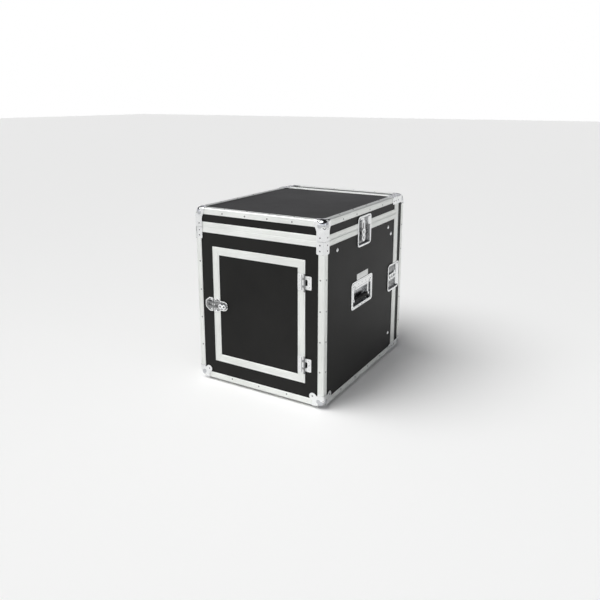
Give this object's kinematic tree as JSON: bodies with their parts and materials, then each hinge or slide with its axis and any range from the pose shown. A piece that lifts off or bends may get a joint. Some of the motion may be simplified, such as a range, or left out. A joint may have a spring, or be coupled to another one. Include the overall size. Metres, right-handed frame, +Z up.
{
  "type": "equipment rack case",
  "caption": "Upright rack case in black laminate and aluminium edging, with lift-off lid, pull-off rack cover, hinged service door, recessed handles and twist latches.",
  "frame": {"origin": "on the surface that the feet stand on, under the middle of the whole object", "axes": "+Z up, -Y towards the service door end, +Y towards the rack cover, +X the side with the label plate"},
  "size_m": [0.535, 0.6934, 0.6615],
  "materials": {
    "laminate": "black phenolic laminate on plywood, satin with a fine pebble texture",
    "aluminium": "extruded, satin anodised, fine lengthwise lines",
    "chrome": "bright zinc and nickel plated pressed steel",
    "rail_steel": "black powder coat",
    "rubber": "matt black moulded rubber"
  },
  "bodies": {
    "case": {"base_panel": "laminate", "door_wall_panel": "laminate", "body_edge_profiles": "aluminium", "body_top_rim": "aluminium", "body_front_rim": "aluminium", "label_plate": "aluminium", "door_latch_keeper": "chrome", "hinge_wall_leaf_upper": "chrome", "hinge_pin_upper": "chrome", "hinge_wall_leaf_lower": "chrome", "hinge_pin_lower": "chrome", "side_panel_left": "laminate", "body_ball_corner_left": "chrome", "rubber_foot_door_end_left": "rubber", "rubber_foot_cover_end_left": "rubber", "front_rack_rail_left": "rail_steel", "top_rack_rail_left": "rail_steel", "handle_dish_left": "chrome", "lid_latch_dish_left": "chrome", "cover_latch_dish_left": "chrome", "side_panel_right": "laminate", "body_ball_corner_right": "chrome", "rubber_foot_door_end_right": "rubber", "rubber_foot_cover_end_right": "rubber", "front_rack_rail_right": "rail_steel", "top_rack_rail_right": "rail_steel", "handle_dish_right": "chrome", "lid_latch_dish_right": "chrome", "cover_latch_dish_right": "chrome"},
    "lid": {"lid_top_panel": "laminate", "lid_walls": "laminate", "lid_edge_profiles": "aluminium", "lid_rim": "aluminium", "lid_latch_catch_left": "chrome", "lid_latch_catch_right": "chrome"},
    "rack_cover": {"cover_panel": "laminate", "cover_walls": "laminate", "cover_edge_profiles": "aluminium", "cover_rim": "aluminium", "cover_latch_catch_left": "chrome", "cover_latch_catch_right": "chrome"},
    "service_door": {"door_panel": "laminate", "door_frame": "aluminium", "door_latch_plate": "chrome", "hinge_door_leaf_upper": "chrome", "hinge_door_leaf_lower": "chrome"},
    "door_latch_wing": {"door_latch_wing": "chrome"},
    "door_latch_hook": {"door_latch_hook": "chrome"},
    "handle_left": {"handle_bail_left": "chrome", "handle_grip_left": "rubber"},
    "lid_latch_wing_left": {"lid_latch_wing_left": "chrome"},
    "lid_latch_hook_left": {"lid_latch_hook_left": "chrome"},
    "cover_latch_wing_left": {"cover_latch_wing_left": "chrome"},
    "cover_latch_hook_left": {"cover_latch_hook_left": "chrome"},
    "handle_right": {"handle_bail_right": "chrome", "handle_grip_right": "rubber"},
    "lid_latch_wing_right": {"lid_latch_wing_right": "chrome"},
    "lid_latch_hook_right": {"lid_latch_hook_right": "chrome"},
    "cover_latch_wing_right": {"cover_latch_wing_right": "chrome"},
    "cover_latch_hook_right": {"cover_latch_hook_right": "chrome"}
  },
  "joints": [
    {"name": "lid_lift", "type": "slide", "parent": "case", "child": "lid", "axis": [0, 0, 1], "range_m": [0, 0.3]},
    {"name": "rack_cover_pull", "type": "slide", "parent": "case", "child": "rack_cover", "axis": [0, 1, 0], "range_m": [0, 0.3]},
    {"name": "service_door_swing", "type": "hinge", "parent": "case", "child": "service_door", "pos_m": [0.1931, -0.33895, 0.302], "axis": [0, 0, 1], "range_deg": [0, 175]},
    {"name": "door_latch_turn", "type": "hinge", "parent": "service_door", "child": "door_latch_wing", "pos_m": [-0.1485, -0.33475, 0.3035], "axis": [0, -1, 0], "range_deg": [0, 180]},
    {"name": "door_latch_draw", "type": "slide", "parent": "service_door", "child": "door_latch_hook", "axis": [-1, 0, 0], "range_m": [0, 0.006]},
    {"name": "handle_left_swing", "type": "hinge", "parent": "case", "child": "handle_left", "pos_m": [-0.258, -0.04075, 0.3745], "axis": [0, 1, 0], "range_deg": [0, 90], "stiffness_Nm_per_rad": 0.4, "springref_deg": -17.19},
    {"name": "lid_latch_turn_left", "type": "hinge", "parent": "case", "child": "lid_latch_wing_left", "pos_m": [-0.265, -0.03175, 0.558], "axis": [-1, 0, 0], "range_deg": [0, 180]},
    {"name": "lid_latch_draw_left", "type": "slide", "parent": "case", "child": "lid_latch_hook_left", "axis": [0, 0, 1], "range_m": [0, 0.006]},
    {"name": "cover_latch_turn_left", "type": "hinge", "parent": "case", "child": "cover_latch_wing_left", "pos_m": [-0.265, 0.24025, 0.331], "axis": [-1, 0, 0], "range_deg": [0, 180]},
    {"name": "cover_latch_draw_left", "type": "slide", "parent": "case", "child": "cover_latch_hook_left", "axis": [0, 1, 0], "range_m": [0, 0.006]},
    {"name": "handle_right_swing", "type": "hinge", "parent": "case", "child": "handle_right", "pos_m": [0.258, -0.04075, 0.3745], "axis": [0, -1, 0], "range_deg": [0, 90], "stiffness_Nm_per_rad": 0.4, "springref_deg": -17.19},
    {"name": "lid_latch_turn_right", "type": "hinge", "parent": "case", "child": "lid_latch_wing_right", "pos_m": [0.265, -0.03175, 0.558], "axis": [1, 0, 0], "range_deg": [0, 180]},
    {"name": "lid_latch_draw_right", "type": "slide", "parent": "case", "child": "lid_latch_hook_right", "axis": [0, 0, 1], "range_m": [0, 0.006]},
    {"name": "cover_latch_turn_right", "type": "hinge", "parent": "case", "child": "cover_latch_wing_right", "pos_m": [0.265, 0.24025, 0.331], "axis": [1, 0, 0], "range_deg": [0, 180]},
    {"name": "cover_latch_draw_right", "type": "slide", "parent": "case", "child": "cover_latch_hook_right", "axis": [0, 1, 0], "range_m": [0, 0.006]}
  ],
  "couplings": [
    {"joint": "door_latch_turn", "follows": "door_latch_draw", "rad_per_m": 523.6},
    {"joint": "lid_latch_turn_left", "follows": "lid_latch_draw_left", "rad_per_m": 523.6},
    {"joint": "cover_latch_turn_left", "follows": "cover_latch_draw_left", "rad_per_m": 523.6},
    {"joint": "lid_latch_turn_right", "follows": "lid_latch_draw_right", "rad_per_m": 523.6},
    {"joint": "cover_latch_turn_right", "follows": "cover_latch_draw_right", "rad_per_m": 523.6}
  ]
}
